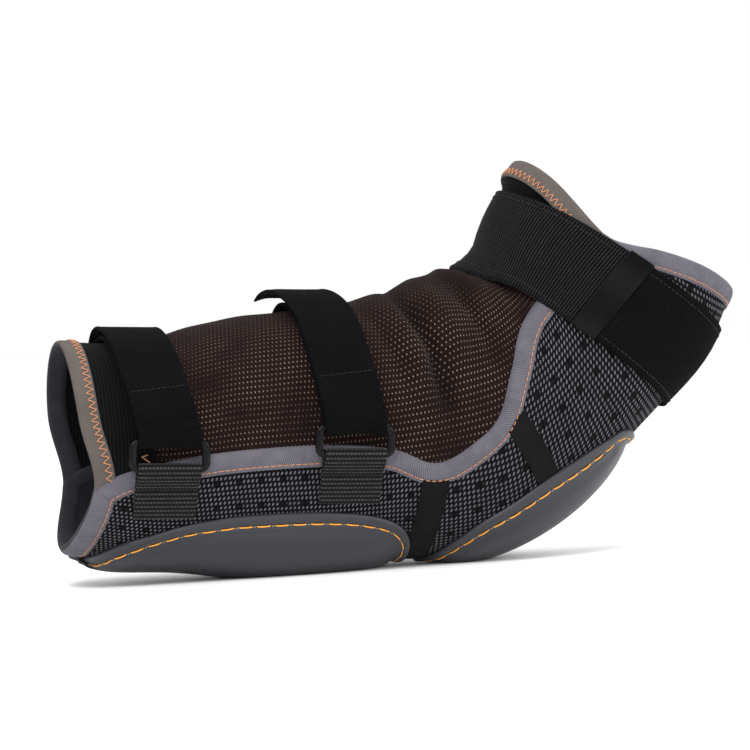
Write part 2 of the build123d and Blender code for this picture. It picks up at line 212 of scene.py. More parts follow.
def past_high_end(x, z):
    """Positive beyond the opening above the hock."""
    return z - np.interp(x, HIGH_X, HIGH_Z)


def past(line):
    """Positive on the right of a line through two points seen from the side."""
    (x0, z0), (x1, z1) = line
    run = math.hypot(x1 - x0, z1 - z0)
    return lambda x, z: ((x - x0) * (z1 - z0) - (z - z0) * (x1 - x0)) / run


ABOVE_LOWER = past(WIDE_LOWER_EDGE[::-1])
ABOVE_UPPER = past(WIDE_UPPER_EDGE[::-1])


def panel_phi(s):
    """The angle at which the body panel begins on the near side."""
    return np.interp(s, EDGE_S, EDGE_PHI)


ROUND = np.linspace(0, math.pi, 181)
LOW_S = crossing(past_low_end, ROUND, -BEYOND, 3)
HIGH_S = crossing(past_high_end, ROUND, 8, LAST + BEYOND)


def both_sides(s, phi):
    """A run of (s, phi) on the near side, and the same run taken backwards on the far side."""
    near = np.stack([s, phi], -1)
    return near, (near * (1, -1) + (0, TAU))[::-1]


def off_front(phi):
    """How far round from the front an angle is, on either side."""
    return np.abs((np.asarray(phi) + math.pi) % TAU - math.pi)


def end_s(phi):
    """Where the sleeve starts and stops at angle phi."""
    turn = off_front(phi)
    return np.interp(turn, ROUND, LOW_S), np.interp(turn, ROUND, HIGH_S)


# ---------------------------------------------------------------- making meshes
def make(name, points, faces, uv=None, material=None, smooth=True):
    """A mesh piece from points in mm, faces, and a (u, v) in mm for each point."""
    mesh = bpy.data.meshes.new(name)
    mesh.from_pydata((np.asarray(points) * MM).tolist(), [], [list(map(int, f)) for f in faces])
    if uv is not None:
        layer = mesh.uv_layers.new(name="UVMap")
        index = np.empty(len(mesh.loops), np.int32)
        mesh.loops.foreach_get("vertex_index", index)
        layer.data.foreach_set("uv", np.asarray(uv, np.float32)[index].ravel())
    mesh.polygons.foreach_set("use_smooth", [smooth] * len(mesh.polygons))
    mesh.validate()
    piece = bpy.data.objects.new(name, mesh)
    bpy.context.scene.collection.objects.link(piece)
    if material:
        mesh.materials.append(material)
    return piece


def grid_faces(rows, columns, start=0, wrap=False, flip=False):
    """The quads of a grid of points held row by row."""
    i, j = np.meshgrid(np.arange(rows - 1), np.arange(columns if wrap else columns - 1), indexing="ij")
    a = start + i * columns + j
    b = start + i * columns + (j + 1) % columns
    quads = np.stack([a, b, b + columns, a + columns], -1).reshape(-1, 4)
    return quads[:, ::-1] if flip else quads


def thick(name, outer, inner, uv, material):
    """A closed sheet between two grids of points."""
    rows, columns = outer.shape[:2]
    count = rows * columns
    faces = [grid_faces(rows, columns), grid_faces(rows, columns, count, flip=True)]
    rim = np.concatenate([
        np.arange(columns), (np.arange(1, rows) + 1) * columns - 1,
        (rows - 1) * columns + np.arange(columns - 2, -1, -1), np.arange(rows - 2, 0, -1) * columns,
    ])
    after = np.roll(rim, -1)
    faces.append(np.stack([after, rim, rim + count, after + count], -1))
    points = np.concatenate([outer.reshape(-1, 3), inner.reshape(-1, 3)])
    both = np.concatenate([uv.reshape(-1, 2)] * 2)
    return make(name, points, np.concatenate(faces), both, material)


def tube(name, rings, uv, material, closed=False):
    """A solid swept through rings of points; its two ends are capped unless it is closed."""
    count, around = rings.shape[:2]
    if closed:
        rings = np.concatenate([rings, rings[:1]])
        uv = np.concatenate([uv, uv[-1:] + (uv[-1:] - uv[-2:-1])])
        count += 1
    faces = grid_faces(count, around, wrap=True).tolist()
    if not closed:
        faces.append(list(range(around))[::-1])
        faces.append([(count - 1) * around + k for k in range(around)])
    return make(name, rings.reshape(-1, 3), faces, uv.reshape(-1, 2), material)


def back_cloth(piece, around, first, material):
    """Gives a swept piece another cloth from a column of its section to the section's end."""
    piece.data.materials.append(material)
    index = np.arange(len(piece.data.polygons)) % around
    piece.data.polygons.foreach_set("material_index", (index >= first).astype(np.int32))


def lengths(path):
    """The distance run along a path, at each of its points."""
    return np.concatenate([[0], np.cumsum(np.linalg.norm(np.diff(path, axis=0), axis=1))])


def heading(path):
    """The direction of travel at each point of a path."""
    return unit(np.gradient(path, axis=0))


def follow(values, run, at):
    """Rows of values that belong to distances run, read off at other distances."""
    return np.stack([np.interp(at, run, column) for column in np.asarray(values, float).T], -1)


def resample(path, count, *more):
    """A path, and anything that goes with it, at even steps."""
    run = lengths(path)
    at = np.linspace(0, run[-1], count)
    result = [follow(values, run, at) for values in (path, *more)]
    return result if more else result[0]


def cloth_grid(across, along):
    """The (u, v) of a grid of points, from its places across and along."""
    return np.stack(np.broadcast_arrays(across[None], along[:, None]), -1)


def tape(name, path, across, normal, width, thickness, material, lift=0.0, droop=0.0):
    """A strap: a flat section with rounded edges, centred on a path, with a bead near each edge.

    lift is the bead's height. droop, for each place on the path, is how far the section's first edge hangs.
    """
    part = np.array([0, 0.25, 0.5, 0.6, 0.7, 0.78, 0.86, 0.93, 0.97, 0.995, 1])
    share = np.concatenate([-part[:0:-1], part])
    half = thickness / 2 * np.clip(np.sqrt(np.maximum(1 - np.abs(share) ** 40, 0)), 0.3, 1)
    bead = lift * np.exp(-((np.abs(share) - 0.94) / 0.04) ** 2)
    u = np.concatenate([share, share[::-1]])
    h = np.concatenate([half + bead, -half[::-1]])
    u_mm = np.tile(u * width / 2, (len(path), 1))
    hang = np.clip((-u - 0.45) / 0.55, 0, 1) ** 1.6
    height = h[None] - np.broadcast_to(droop, len(path))[:, None] * hang[None]
    rings = path[:, None] + across[:, None] * u_mm[..., None] + normal[:, None] * height[..., None]
    run = lengths(path)
    piece = tube(name, rings, cloth_grid(u * width / 2, run), material)
    piece["run"] = float(run[-1])
    return piece


def thread_rings(path, side, up, radius):
    """Rings of points round a thread's path; the radius may change along it."""
    turn = np.linspace(0, TAU, THREAD_SIDES + 1)[:-1, None]
    ring = side[:, None] * np.cos(turn) + up[:, None] * np.sin(turn)
    return path[:, None] + np.broadcast_to(radius, len(path))[:, None, None] * ring


def stitches(name, path, normal, length, gap, radius, material, sink=0.25, rise=0.15, first=None):
    """A row of thread stitches along a path, each one a short bowed strand that dives at its ends.

    sink is how deep a stitch's ends lie, rise how high its middle stands, and first where the row begins.
    """
    run = lengths(path)
    starts = np.arange(gap if first is None else first, run[-1] - length, length + gap)
    bow = np.linspace(0, 1, 7)
    size = radius * np.where((bow == 0) | (bow == 1), 0.5, 1.0)
    points, faces = [], []
    for k, start in enumerate(starts):
        at = start + bow * length
        line = follow(path, run, at)
        up = unit(follow(normal, run, at))
        side = np.cross(heading(line), up)
        line = line + up * ((rise + radius) * np.sin(bow * math.pi) ** 0.5 - sink)[:, None]
        points.append(thread_rings(line, side, up, size).reshape(-1, 3))
        faces.append(grid_faces(len(bow), THREAD_SIDES, start=k * len(bow) * THREAD_SIDES, wrap=True))
    return make(name, np.concatenate(points), np.concatenate(faces), None, material)


# ---------------------------------------------------------------- baking pieces, and weighing them round the hock
def bend_at_hock(piece):
    """Bakes the piece's transform into its points and weighs each point by its angle round the hinge line;
    the points are not moved.
    """
    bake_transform(piece)
    points = np.empty(len(piece.data.vertices) * 3, np.float32)
    piece.data.vertices.foreach_get("co", points)
    points = points.reshape(-1, 3) / MM
    angle = np.degrees(np.arctan2(points[:, 0] - HINGE[0], np.maximum(points[:, 2] - HINGE[1], 0.5)))
    weight = ease((angle - FLEX_DEG[0]) / (FLEX_DEG[1] - FLEX_DEG[0]))


# ---------------------------------------------------------------- node materials
class Value:
    """A number or a colour at a node's socket. Arithmetic on it adds maths nodes."""

    def __init__(self, look, socket):
        self.look = look
        self.socket = socket

    def maths(self, operation, *others):
        """This value, and any others, put through a maths node."""
        return self.look.node("ShaderNodeMath", dict(enumerate((self, *others))), operation=operation)

    def __add__(self, other):
        return self.maths("ADD", other)

    def __sub__(self, other):
        return self.maths("SUBTRACT", other)

    def __mul__(self, other):
        return self.maths("MULTIPLY", other)

    def __truediv__(self, other):
        return self.maths("DIVIDE", other)

    def __pow__(self, other):
        return self.maths("POWER", other)


class Look:
    """A node material being made. Its patterns lie on the two cloth coordinates u and v, in mm."""

    def __init__(self, name):
        self.material = bpy.data.materials.new(name)
        self.material.use_nodes = True
        self.tree = self.material.node_tree

    def put(self, value, socket):
        """Sets a socket to a Value, a number or a colour."""
        if isinstance(value, Value):
            self.tree.links.new(value.socket, socket)
        else:
            socket.default_value = (*value, 1) if isinstance(value, tuple) else value

    def node(self, kind, inputs=None, out=0, **settings):
        """Adds a node, sets its inputs, and gives the value at one of its outputs."""
        node = self.tree.nodes.new(kind)
        for key, value in settings.items():
            setattr(node, key, value)
        for key, value in (inputs or {}).items():
            self.put(value, node.inputs[key])
        return Value(self, node.outputs[out])

    def axes(self):
        """The two cloth coordinates."""
        place = self.node("ShaderNodeUVMap")
        return [self.node("ShaderNodeSeparateXYZ", {0: place}, out=axis) for axis in (0, 1)]

    def attribute(self, name):
        """A value stored on the mesh's points."""
        return self.node("ShaderNodeAttribute", out="Fac", attribute_name=name)

    def noise(self, scale, detail):
        """A noise value over the object's own coordinates."""
        place = self.node("ShaderNodeTexCoord", out="Object")
        inputs = {"Scale": scale, "Detail": detail, "Vector": place}
        return self.node("ShaderNodeTexNoise", inputs, out="Fac")

    def mix(self, share, a, b):
        """A blend of two colours."""
        return self.node("ShaderNodeMix", {0: share, 6: a, 7: b}, out=2, data_type="RGBA")

    def dots(self, u, v, pitch, size, soft=0.35, stagger=0.5):
        """A mask of rounded dots in staggered rows; the sizes are shares of the pitch."""
        part_v, row = cell(v / pitch[1])
        part_u, _ = cell(u / pitch[0] + row.maths("MODULO", 2.0) * stagger)
        radius = (part_u / size[0]).maths("ABSOLUTE") ** 2.0 + (part_v / size[1]).maths("ABSOLUTE") ** 2.0
        return self.node("ShaderNodeMapRange", {0: radius, 1: 1 + soft, 2: 1 - soft},
                         interpolation_type="SMOOTHSTEP")

    def finish(self, colour, height, strength, depth, shine):
        """Gives the shader its colour, a relief depth mm deep, and the inputs in shine."""
        inputs = {"Strength": strength, "Distance": depth * MM, "Height": height}
        relief = self.node("ShaderNodeBump", inputs)
        shader = self.tree.nodes["Principled BSDF"]
        for key, value in {"Base Color": colour, "Normal": relief, **shine}.items():
            self.put(value, shader.inputs[key])
        return self.material


def cell(value):
    """How far a value is past the middle of its whole number, and that whole number."""
    whole = value.maths("FLOOR")
    return value - whole - 0.5, whole


def waves(value, pitch):
    """Ridges from 0 to 1 across a coordinate."""
    return (value * (TAU / pitch)).maths("COSINE") * 0.5 + 0.5


def cloth(roughness, sheen, specular=0.02):
    """The shader inputs of a cloth."""
    return {"Roughness": roughness, "Sheen Weight": sheen, "Sheen Roughness": 0.5,
            "Specular IOR Level": specular}


def stretch_mesh_material():
    """Dark brown stretch mesh with rows of fine dashes, black and ribbed near its two ends. The dashes are
    dimmed towards the front line as painted shade.
    """
    look = Look("stretch_mesh_cloth")
    u, v = look.axes()
    fade = look.noise(38.0, 2.0)
    seen = (fade * 3.0 - 0.85).maths("MAXIMUM", 0.1).maths("MINIMUM", 1.0)
    # The shine attribute dims the dashes towards the front line: painted shade.
    dash = look.dots(u - v * 0.18, v, (2.4, 3.2), (0.15, 0.17)) * seen * look.attribute("shine")
    ribs = waves(u, 2.2) ** 1.5
    base = look.mix(fade, (0.0062, 0.0036, 0.0032), (0.0125, 0.0070, 0.0060))
    brown = look.mix(dash, base, (0.17, 0.118, 0.095))
    black = look.mix(ribs * 0.5, (0.0025, 0.0025, 0.0028), (0.010, 0.010, 0.011))
    colour = look.mix(look.attribute("brown"), black, brown)
    return look.finish(colour, ribs * 0.7 + waves(v, 0.9) * 0.3 - dash, 0.5, 0.35, cloth(0.85, 0.02))


def spacer_mesh_material():
    """Black spacer mesh with light slanted cells and dark dimples on a wide grid."""
    look = Look("spacer_mesh_cloth")
    u, v = look.axes()
    cells = look.dots(u + v * 0.3, v, (2.6, 3.0), (0.25, 0.33), soft=0.45)
    dimple = look.dots(u, v, (13.3, 15.0), (0.16, 0.16), soft=0.4, stagger=0.0)
    light = look.mix(look.noise(60.0, 2.0), (0.055, 0.053, 0.059), (0.118, 0.114, 0.126))
    weave = look.mix(cells, (0.0035, 0.0035, 0.0042), light)
    colour = look.mix(dimple * 0.95, weave, (0.0025, 0.0025, 0.003))
    return look.finish(colour, cells - dimple * 1.6, 0.7, 0.5, cloth(0.8, 0.02))


def ribbed_material(name, dark, light, pitch_u, pitch_v, speck=0.25):
    """Cloth with ribs one way and a finer thread the other way."""
    look = Look(name)
    u, v = look.axes()
    weave = waves(u, pitch_u) * waves(v, pitch_v)
    grain = look.noise(900.0, 1.0)
    colour = look.mix(weave * 0.55 + look.noise(55.0, 3.0) * 0.3 + grain * speck, dark, light)
    return look.finish(colour, weave + grain * 0.3, 0.6, 0.3, cloth(0.8, 0.02))


def twill_material(name, dark, light, pitch, slope):
    """Binding cloth with a fine slanting rib."""
    look = Look(name)
    u, v = look.axes()
    rib = waves(v + u * slope, pitch)
    shade = look.noise(90.0, 3.0)
    colour = look.mix(rib * 0.45 + shade * 0.5, dark, light)
    return look.finish(colour, rib + shade * 1.5, 0.6, 0.25, cloth(0.85, 0.05))


def brushed_material(name, dark, light):
    """Brushed loop cloth: a soft nap with a slanting grain."""
    look = Look(name)
    u, v = look.axes()
    grain = look.dots(u, v + u * 0.9, (1.35, 1.1), (0.3, 0.3), soft=0.6)
    fuzz = look.noise(1400.0, 2.0)
    share = (grain * 0.35 + fuzz * 0.45 + look.noise(45.0, 3.0) * 0.2) ** 2.0
    return look.finish(look.mix(share, dark, light), grain + fuzz, 0.7, 0.35, cloth(0.95, 0.01, 0.015))


def basket_material():
    """Black woven elastic: short raised bars, turned a quarter from one cell to the next."""
    look = Look("woven_elastic_cloth")
    u, v = look.axes()
    pitch = (2.7, 1.9)
    bars = look.dots(u, v, pitch, (0.36, 0.2), soft=0.4)
    cross = look.dots(u + pitch[0] / 2, v, pitch, (0.13, 0.42), soft=0.4)
    weave = bars.maths("MAXIMUM", cross)
    share = weave * (look.noise(300.0, 2.0) * 0.9 + 0.35)
    colour = look.mix(share, (0.0010, 0.0010, 0.0012), (0.021, 0.021, 0.023))
    return look.finish(colour, weave, 0.8, 0.4, cloth(0.75, 0.02))


def webbing_material():
    """Black webbing: ribs across the tape, each one a row of raised picks."""
    look = Look("tab_webbing_cloth")
    u, v = look.axes()
    picks = look.dots(u, v, (2.2, 2.6), (0.44, 0.22), soft=0.5)
    share = picks * (look.noise(200.0, 2.0) * 1.1 + 0.2)
    colour = look.mix(share, (0.0010, 0.0010, 0.0012), (0.042, 0.042, 0.046))
    return look.finish(colour, picks, 0.8, 0.6, cloth(0.8, 0.02, 0.15))


def cap_material():
    """Moulded slate plastic with a faint grain and hairline wear."""
    look = Look("cap_moulded_plastic")
    patch = look.noise(14.0, 4.0)
    colour = look.mix(patch, (0.010, 0.011, 0.0155), (0.018, 0.0195, 0.0255))
    shine = {"Roughness": patch * 0.18 + 0.34, "Specular IOR Level": 0.45}
    return look.finish(colour, look.noise(1500.0, 2.0), 0.12, 0.1, shine)


def gloss_material():
    """Glossy black moulded plastic."""
    look = Look("loop_gloss_plastic")
    patch = look.noise(40.0, 3.0)
    colour = look.mix(patch, (0.002, 0.002, 0.0025), (0.005, 0.005, 0.006))
    shine = {"Roughness": patch * 0.12 + 0.1, "IOR": 1.2, "Specular IOR Level": 0.5}
    return look.finish(colour, patch, 0.1, 0.2, shine)


def thread_material(name, dark, light):
    """Twisted sewing thread."""
    look = Look(name)
    twist = look.noise(500.0, 3.0)
    return look.finish(look.mix(twist, dark, light), twist, 0.4, 0.2, cloth(0.6, 0.1, 0.2))


def grey(dark, light):
    """A dark and a light neutral grey."""
    return (dark, dark, dark), (light, light, light)


STRETCH = stretch_mesh_material()
SPACER = spacer_mesh_material()
LINING = twill_material("lining_knit", (0.006, 0.006, 0.007), (0.022, 0.022, 0.026), 1.1, 0.5)
LINING_RIM = twill_material("lining_edge_knit", (0.009, 0.009, 0.011), (0.042, 0.041, 0.049), 1.0, 0.5)
BINDING = twill_material("grey_binding_cloth", (0.040, 0.038, 0.046), (0.155, 0.147, 0.174), 1.2, 0.35)
FACING = twill_material("grey_facing_cloth", (0.058, 0.049, 0.044), (0.118, 0.102, 0.093), 0.9, 0.0)
TAPE = ribbed_material("seam_tape_cloth", (0.0018, 0.0018, 0.002), (0.011, 0.011, 0.012), 40.0, 1.25)
KEEPER = ribbed_material(
    "keeper_tape_cloth", (0.0012, 0.0012, 0.0014), (0.014, 0.014, 0.0155), 40.0, 1.4, speck=0.05)
STRAP = brushed_material("strap_loop_cloth", (0.0010, 0.0010, 0.0012), (0.0125, 0.0125, 0.014))
ELASTIC = basket_material()
WEBBING = webbing_material()
HOOK = ribbed_material("hook_cloth", *grey(0.004, 0.02), 1.6, 1.6)
CAP = cap_material()
GLOSS = gloss_material()
ORANGE = thread_material("orange_thread", (0.30, 0.115, 0.05), (0.50, 0.235, 0.12))
AMBER = thread_material("amber_thread", (0.56, 0.21, 0.02), (0.86, 0.38, 0.05))
# Light grey marks for the needle notches between the cap stitches: real notches, their light grey a painted
# highlight.
NOTCH_HIGHLIGHT = thread_material("painted_notch_highlight", (0.16, 0.16, 0.17), (0.34, 0.34, 0.36))
BLACK_THREAD = thread_material("black_thread", *grey(0.003, 0.009))


# ---------------------------------------------------------------- the sleeve's cloth
def cloth_uv(s, phi):
    """Cloth coordinates in mm: along the leg, and round it."""
    grid = np.linspace(-BEYOND, LAST + BEYOND, 200)
    run = lengths(surface(grid, math.pi / 2)[:, [0, 2]])
    return np.stack([np.interp(s, grid, run), phi * CLOTH_PER_RADIAN], -1)


def patch(name, rows, columns, phi_range, outer, inner, material, relief=None):
    """A sheet over the sleeve between its two ends, from one angle to another, and its grid's s and phi."""
    a = np.linspace(0, 1, rows)[:, None]
    b = np.linspace(0, 1, columns)[None]
    s = a * LAST + 0 * b
    for _ in range(8):  # the angles depend on s, and the ends' s on the angle
        low, high = phi_range(s)
        phi = low + b * (high - low)
        start, stop = end_s(phi)
        s = start + a * (stop - start)
    add = relief(s, phi) if relief else 0.0
    top = surface(s, phi, outer + add)
    under = surface(s, phi, inner + add)
    return thick(name, top, under, cloth_uv(s, phi), material), s, phi


def store(piece, name, values):
    """Keeps a value for each point of a thick sheet, the same on both its faces."""
    layer = piece.data.attributes.new(name, "FLOAT", "POINT")
    layer.data.foreach_set("value", np.tile(values.ravel(), 2).astype(np.float32))


def front_span(s):
    """The angles that the front mesh covers."""
    edge = panel_phi(s) + 0.06
    return -edge, edge


def panel_span(s):
    """The angles that the body panel covers."""
    edge = panel_phi(s)
    return edge, TAU - edge


# Folds in the front mesh at the bend: a line seen from the side, its height (a valley's is below 0)
# and its breadth, mm.
FOLDS = [
    ((99, 160), (121, 84), -8.0, 4.8),
    ((87, 160), (110, 86), 2.8, 6.5),
    ((113, 166), (134, 96), 3.6, 6.5),
    ((74, 158), (96, 92), -2.4, 5.0),
    ((128, 170), (149, 112), -4.2, 4.6),
]


def fold_relief(s, phi):
    """How far the folds lift the front mesh, and the wide strap presses it in."""
    p = surface(s, phi)
    x, z = p[..., 0], p[..., 2]
    from_low, from_high = ABOVE_LOWER(x, z), ABOVE_UPPER(x, z)
    pressed = ease((from_low + 9) / 14) * ease((12 - from_high) / 14)
    lift = np.zeros_like(x)
    for (x0, z0), (x1, z1), height, breadth in FOLDS:
        run = math.hypot(x1 - x0, z1 - z0)
        along = ((x - x0) * (x1 - x0) + (z - z0) * (z1 - z0)) / run
        away = past(((x0, z0), (x1, z1)))(x, z) + 3 * np.sin(along / 16)
        fade = np.clip((run - along) / 30, 0, 1) * np.clip((along + 25) / 25, 0, 1)
        lift += height * fade * np.exp(-(away / breadth) ** 2)
    lift *= 0.22 + 0.78 * ease((np.abs(phi) - 0.2) / 0.5)
    ripple = 0.35 * np.sin(s * 9 + 3 * phi) * np.sin(5 * phi + s)
    held = np.clip((panel_phi(s) - np.abs(phi)) / 0.3, 0, 1)
    return (lift * (1 - pressed) + ripple) * held - SQUEEZE * pressed * held


front_mesh, mesh_s, mesh_phi = patch(
    "front_mesh", 300, 160, front_span, 0.0, -1.2, STRETCH, fold_relief)
BLACK_ENDS = (0.9, 9.05)  # the s at which the mesh turns from black to brown and back
store(front_mesh, "brown",
      np.clip((mesh_s - BLACK_ENDS[0]) / 0.1, 0, 1) * np.clip((BLACK_ENDS[1] - mesh_s) / 0.5, 0, 1))
# shine: how bright the dashes are, low near the front line, as painted shade.
store(front_mesh, "shine", 0.22 + 0.78 * np.clip((np.abs(mesh_phi) - 0.35) / 0.6, 0, 1))
bend_at_hock(front_mesh)
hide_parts("cannon_front_mesh", "flex_front_mesh", "gaskin_front_mesh")


def panel_relief(s, phi):
    """The panel's soft fullness."""
    return 0.25 * np.sin(3.1 * s + 2 * phi) * np.sin(4 * phi)


panel = patch("spacer_panel", 300, 200, panel_span, 1.5, -0.4, SPACER, panel_relief)[0]
bend_at_hock(panel)
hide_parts("cannon_panel", "flex_panel", "gaskin_panel")

lining = patch("sleeve_lining", 200, 140, panel_span, -0.45, -3.5, LINING)[0]
bend_at_hock(lining)
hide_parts("cannon_liner", "flex_liner", "gaskin_liner")


# ---------------------------------------------------------------- bindings and facings
def chart_step(s, phi, direction):
    """The (ds, dphi) that moves a point on the sleeve by 1 mm in a direction."""
    step = 1e-3
    ps = (surface(s + step, phi) - surface(s - step, phi)) / (2 * step)
    pp = (surface(s, phi + step) - surface(s, phi - step)) / (2 * step)
    e, f, g = (ps * ps).sum(-1), (ps * pp).sum(-1), (pp * pp).sum(-1)
    a, b = (direction * ps).sum(-1), (direction * pp).sum(-1)
    size = e * g - f * f
    return (a * g - b * f) / size, (b * e - a * f) / size


def smoothed(loop, reach):
    """A closed loop of rows, each one averaged with its neighbours up to reach places away."""
    kernel = np.hanning(2 * reach + 3)[1:-1]
    kernel /= kernel.sum()
    around = np.concatenate([loop[-reach:], loop, loop[:reach]])
    return np.stack([np.convolve(column, kernel, "valid") for column in around.T], -1)


def panel_rim(count):
    """The body panel's whole edge, as (s, phi): near edge, upper end, far edge, lower end."""
    low = EDGE_S.min()
    s = low + np.linspace(0, 1, 400) * (end_s(panel_phi(EDGE_S.max()))[1] - low)
    near, far = both_sides(s, panel_phi(s))
    turn = np.linspace(near[-1, 1], TAU - near[-1, 1], 300)
    upper = np.stack([end_s(turn)[1], turn], -1)
    turn = np.linspace(TAU - near[0, 1], near[0, 1], 300)
    lower = np.stack([end_s(turn)[0], turn], -1)
    rim = np.concatenate([near[:-1], upper[:-1], far[:-1], lower[:-1]])
    rim = np.concatenate([rim, rim[:1]])
    run = lengths(surface(*rim.T))
    rim = follow(rim, run, np.linspace(0, run[-1], count + 1)[:-1])
    notch = np.exp(-((surface(*rim.T)[:, :1] - HINGE[0]) / 24) ** 4)
    return smoothed(rim, 7) * (1 - notch) + smoothed(rim, 22) * notch


RIM_S, RIM_PHI = panel_rim(1500).T
RIM_PLACE = surface(RIM_S, RIM_PHI)
RIM_RUN = lengths(RIM_PLACE)
RIM_OUT = outward(RIM_S, RIM_PHI)


def rim_step():
    """The (ds, dphi) that moves each point of the rim 1 mm into the panel."""
    ahead = unit(np.roll(RIM_PLACE, -1, 0) - np.roll(RIM_PLACE, 1, 0))
    inward = np.cross(RIM_OUT, ahead)
    k = len(RIM_S) // 5
    if (inward[k] * (surface(5, math.pi) - RIM_PLACE[k])).sum() < 0:
        inward = -inward
    return chart_step(RIM_S, RIM_PHI, inward)


RIM_STEP = rim_step()


def beside_rim(inward, offset):
    """Points at a distance inward from the panel's edge, and outward from the sleeve."""
    return surface(RIM_S + RIM_STEP[0] * inward, RIM_PHI + RIM_STEP[1] * inward, offset)


# The binding's section: distance in from the panel's edge, and offset from the sleeve, mm.
BINDING_SECTION = [
    (BINDING_WIDTH, 1.55), (BINDING_WIDTH - 0.1, 2.1), (10.0, 2.35), (8.9, 2.0), (7.6, 2.6), (5.5, 2.95),
    (3.0, 2.9), (1.0, 2.5), (-0.6, 1.5), (-1.4, 0.0), (-1.5, -1.5), (-1.0, -3.2), (0.4, -4.1),
    (3.0, -4.3), (7.0, -4.3), (8.5, -3.6),
]
STITCH_COLUMN = 3
LINING_COLUMN = 9


def rim_binding():
    """The tape folded over the panel's edge, puckered where it turns."""
    pucker = 0.22 * np.sin(RIM_RUN * TAU / 6.3) * np.sin(RIM_RUN * TAU / 41 + 1)
    rings = np.stack([
        beside_rim(inward, offset + (pucker if STITCH_COLUMN < k < LINING_COLUMN else 0.0))
        for k, (inward, offset) in enumerate(BINDING_SECTION)], 1)
    uv = cloth_grid(lengths(np.array(BINDING_SECTION)), RIM_RUN)
    return tube("rim_binding", rings, uv, BINDING, closed=True)


binding = rim_binding()
back_cloth(binding, len(BINDING_SECTION), LINING_COLUMN, LINING_RIM)
bend_at_hock(binding)
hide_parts("cannon_binding", "flex_binding", "gaskin_binding", "gaskin_top_binding")

groove = beside_rim(BINDING_SECTION[STITCH_COLUMN][0], 2.05)
rim_row = stitches("rim_stitch", groove, RIM_OUT, 3.4, 0.45, 0.32, ORANGE, sink=0.2, rise=0.25)
bend_at_hock(rim_row)


def end_facing(name, end, width):
    """The cloth band sewn round the front mesh's lower end, 0, or upper, 1, and its zigzag's corners."""
    start = end_s(panel_phi(LAST * end))[end]
    edge = panel_phi(start) + 0.03
    phi = np.linspace(-edge, edge, 260)
    s = end_s(phi)[end]
    place = surface(s, phi)
    inward = np.cross(outward(s, phi), heading(place))
    inward *= np.sign((inward * (surface(5, 0.0) - place)).sum(-1))[:, None]
    ds, dp = chart_step(s, phi, inward)
    section = [  # distance in from the mesh's end, and offset from the sleeve
        (width, 0.25), (width - 0.1, 0.9), (width - 1.0, 1.15), (width * 0.5, 1.2), (1.0, 1.25),
        (-0.4, 0.9), (-1.1, 0.0), (-1.0, -1.6), (0.2, -2.3), (width * 0.6, -2.3), (width - 0.5, -2.2),
        (width - 0.3, -1.2),
    ]
    rings = np.stack([surface(s + ds * a, phi + dp * a, b) for a, b in section], 1)
    run = lengths(place)
    band = tube(name, rings, cloth_grid(lengths(np.array(section)), run), FACING)
    back_cloth(band, len(section), 6, LINING_RIM)
    teeth = np.arange(3.0, run[-1] - 3, 2.1)
    t_s, t_phi, t_ds, t_dp = follow(np.stack([s, phi, ds, dp], -1), run, teeth).T
    reach = width * np.where(np.arange(len(teeth)) % 2, 0.50, 0.88)
    corners = surface(t_s + t_ds * reach, t_phi + t_dp * reach, 1.35)
    return band, corners, outward(t_s, t_phi)


def zigzag(name, corners, ups, radius):
    """A thread run from corner to corner."""
    number = np.arange(len(corners))
    t = np.linspace(0, number[-1], number[-1] * 6 + 1)
    up = unit(follow(ups, number, t))
    path = follow(corners, number, t) + up * (0.25 * np.sin((t % 1) * math.pi))[:, None]
    side = unit(np.cross(heading(path), up))
    turn = np.linspace(0, TAU, THREAD_SIDES + 1)[:-1]
    return tube(name, thread_rings(path, side, up, radius), cloth_grid(turn, lengths(path)), ORANGE)


for section, end, width in (("cannon", 0, 11.0), ("gaskin", 1, 11.5)):
    band, corners, ups = end_facing(f"{section}_facing", end, width)
    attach(band, f"{section}_section")
    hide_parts(f"{section}_mesh_facing")
    thread = zigzag(f"{section}_zigzag", corners, ups, 0.32)
    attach(thread, f"{section}_section")


# ---------------------------------------------------------------- moulded caps
def cap_tree(node):
    """The CAD cap, ready to be measured by rays."""
    mesh = frame["nodes"][node].data
    points = [vertex.co / MM for vertex in mesh.vertices]
    return BVHTree.FromPolygons(points, [list(face.vertices) for face in mesh.polygons])


RAY_FROM = 45


def cap_heights(tree, place, out, least):
    """How far the cap's outside stands off the sleeve at each place, found by rays from outside."""
    heights = []
    for p, n in zip(place.reshape(-1, 3), out.reshape(-1, 3)):
        hit = tree.ray_cast(Vector(p + RAY_FROM * n), Vector(-n), RAY_FROM - 1)[0]
        heights.append(least if hit is None else max(least, float(np.dot(np.array(hit) - p, n))))
    return np.array(heights).reshape(place.shape[:2])


# For each cap, the X of its two tips at the back of the leg, and the near half of its rim from tip to tip.
CAP_RIMS = {
    "tendon": ((-103.5, 98.5), [
        (-96, 18.5), (-83, 25.5), (-52, 34), (-22, 38.5), (9, 39.5), (40, 38.5), (65, 35.5), (82, 30.5),
        (92, 23.5), (97, 14)]),
    "hock": ((108, 247.5), [
        (112, 6.5), (123.5, 15), (143, 28), (170, 43.5), (195.5, 57.5), (220, 69.5), (238, 75.5)]),
}
# Distances in from the rim at which a cap's points lie, and how high its flange and groove stand there.
CAP_INWARD = np.array([0, 0, 0.5, 1.2, 2.4, 3.5, 4.3, 4.8, 5.3, 6.0, 6.6, 7.3, 8.2, 9.5, 11.5])
CAP_PROFILE = np.array([1.75, 3.2, 3.9, 4.15, 4.2, 4.15, 4.0, 3.45, 3.2, 3.2, 3.45])
FLANGE_HEIGHT = 3.6
THREAD_ROW = 8
GROOVE_END = CAP_INWARD[len(CAP_PROFILE) - 1]


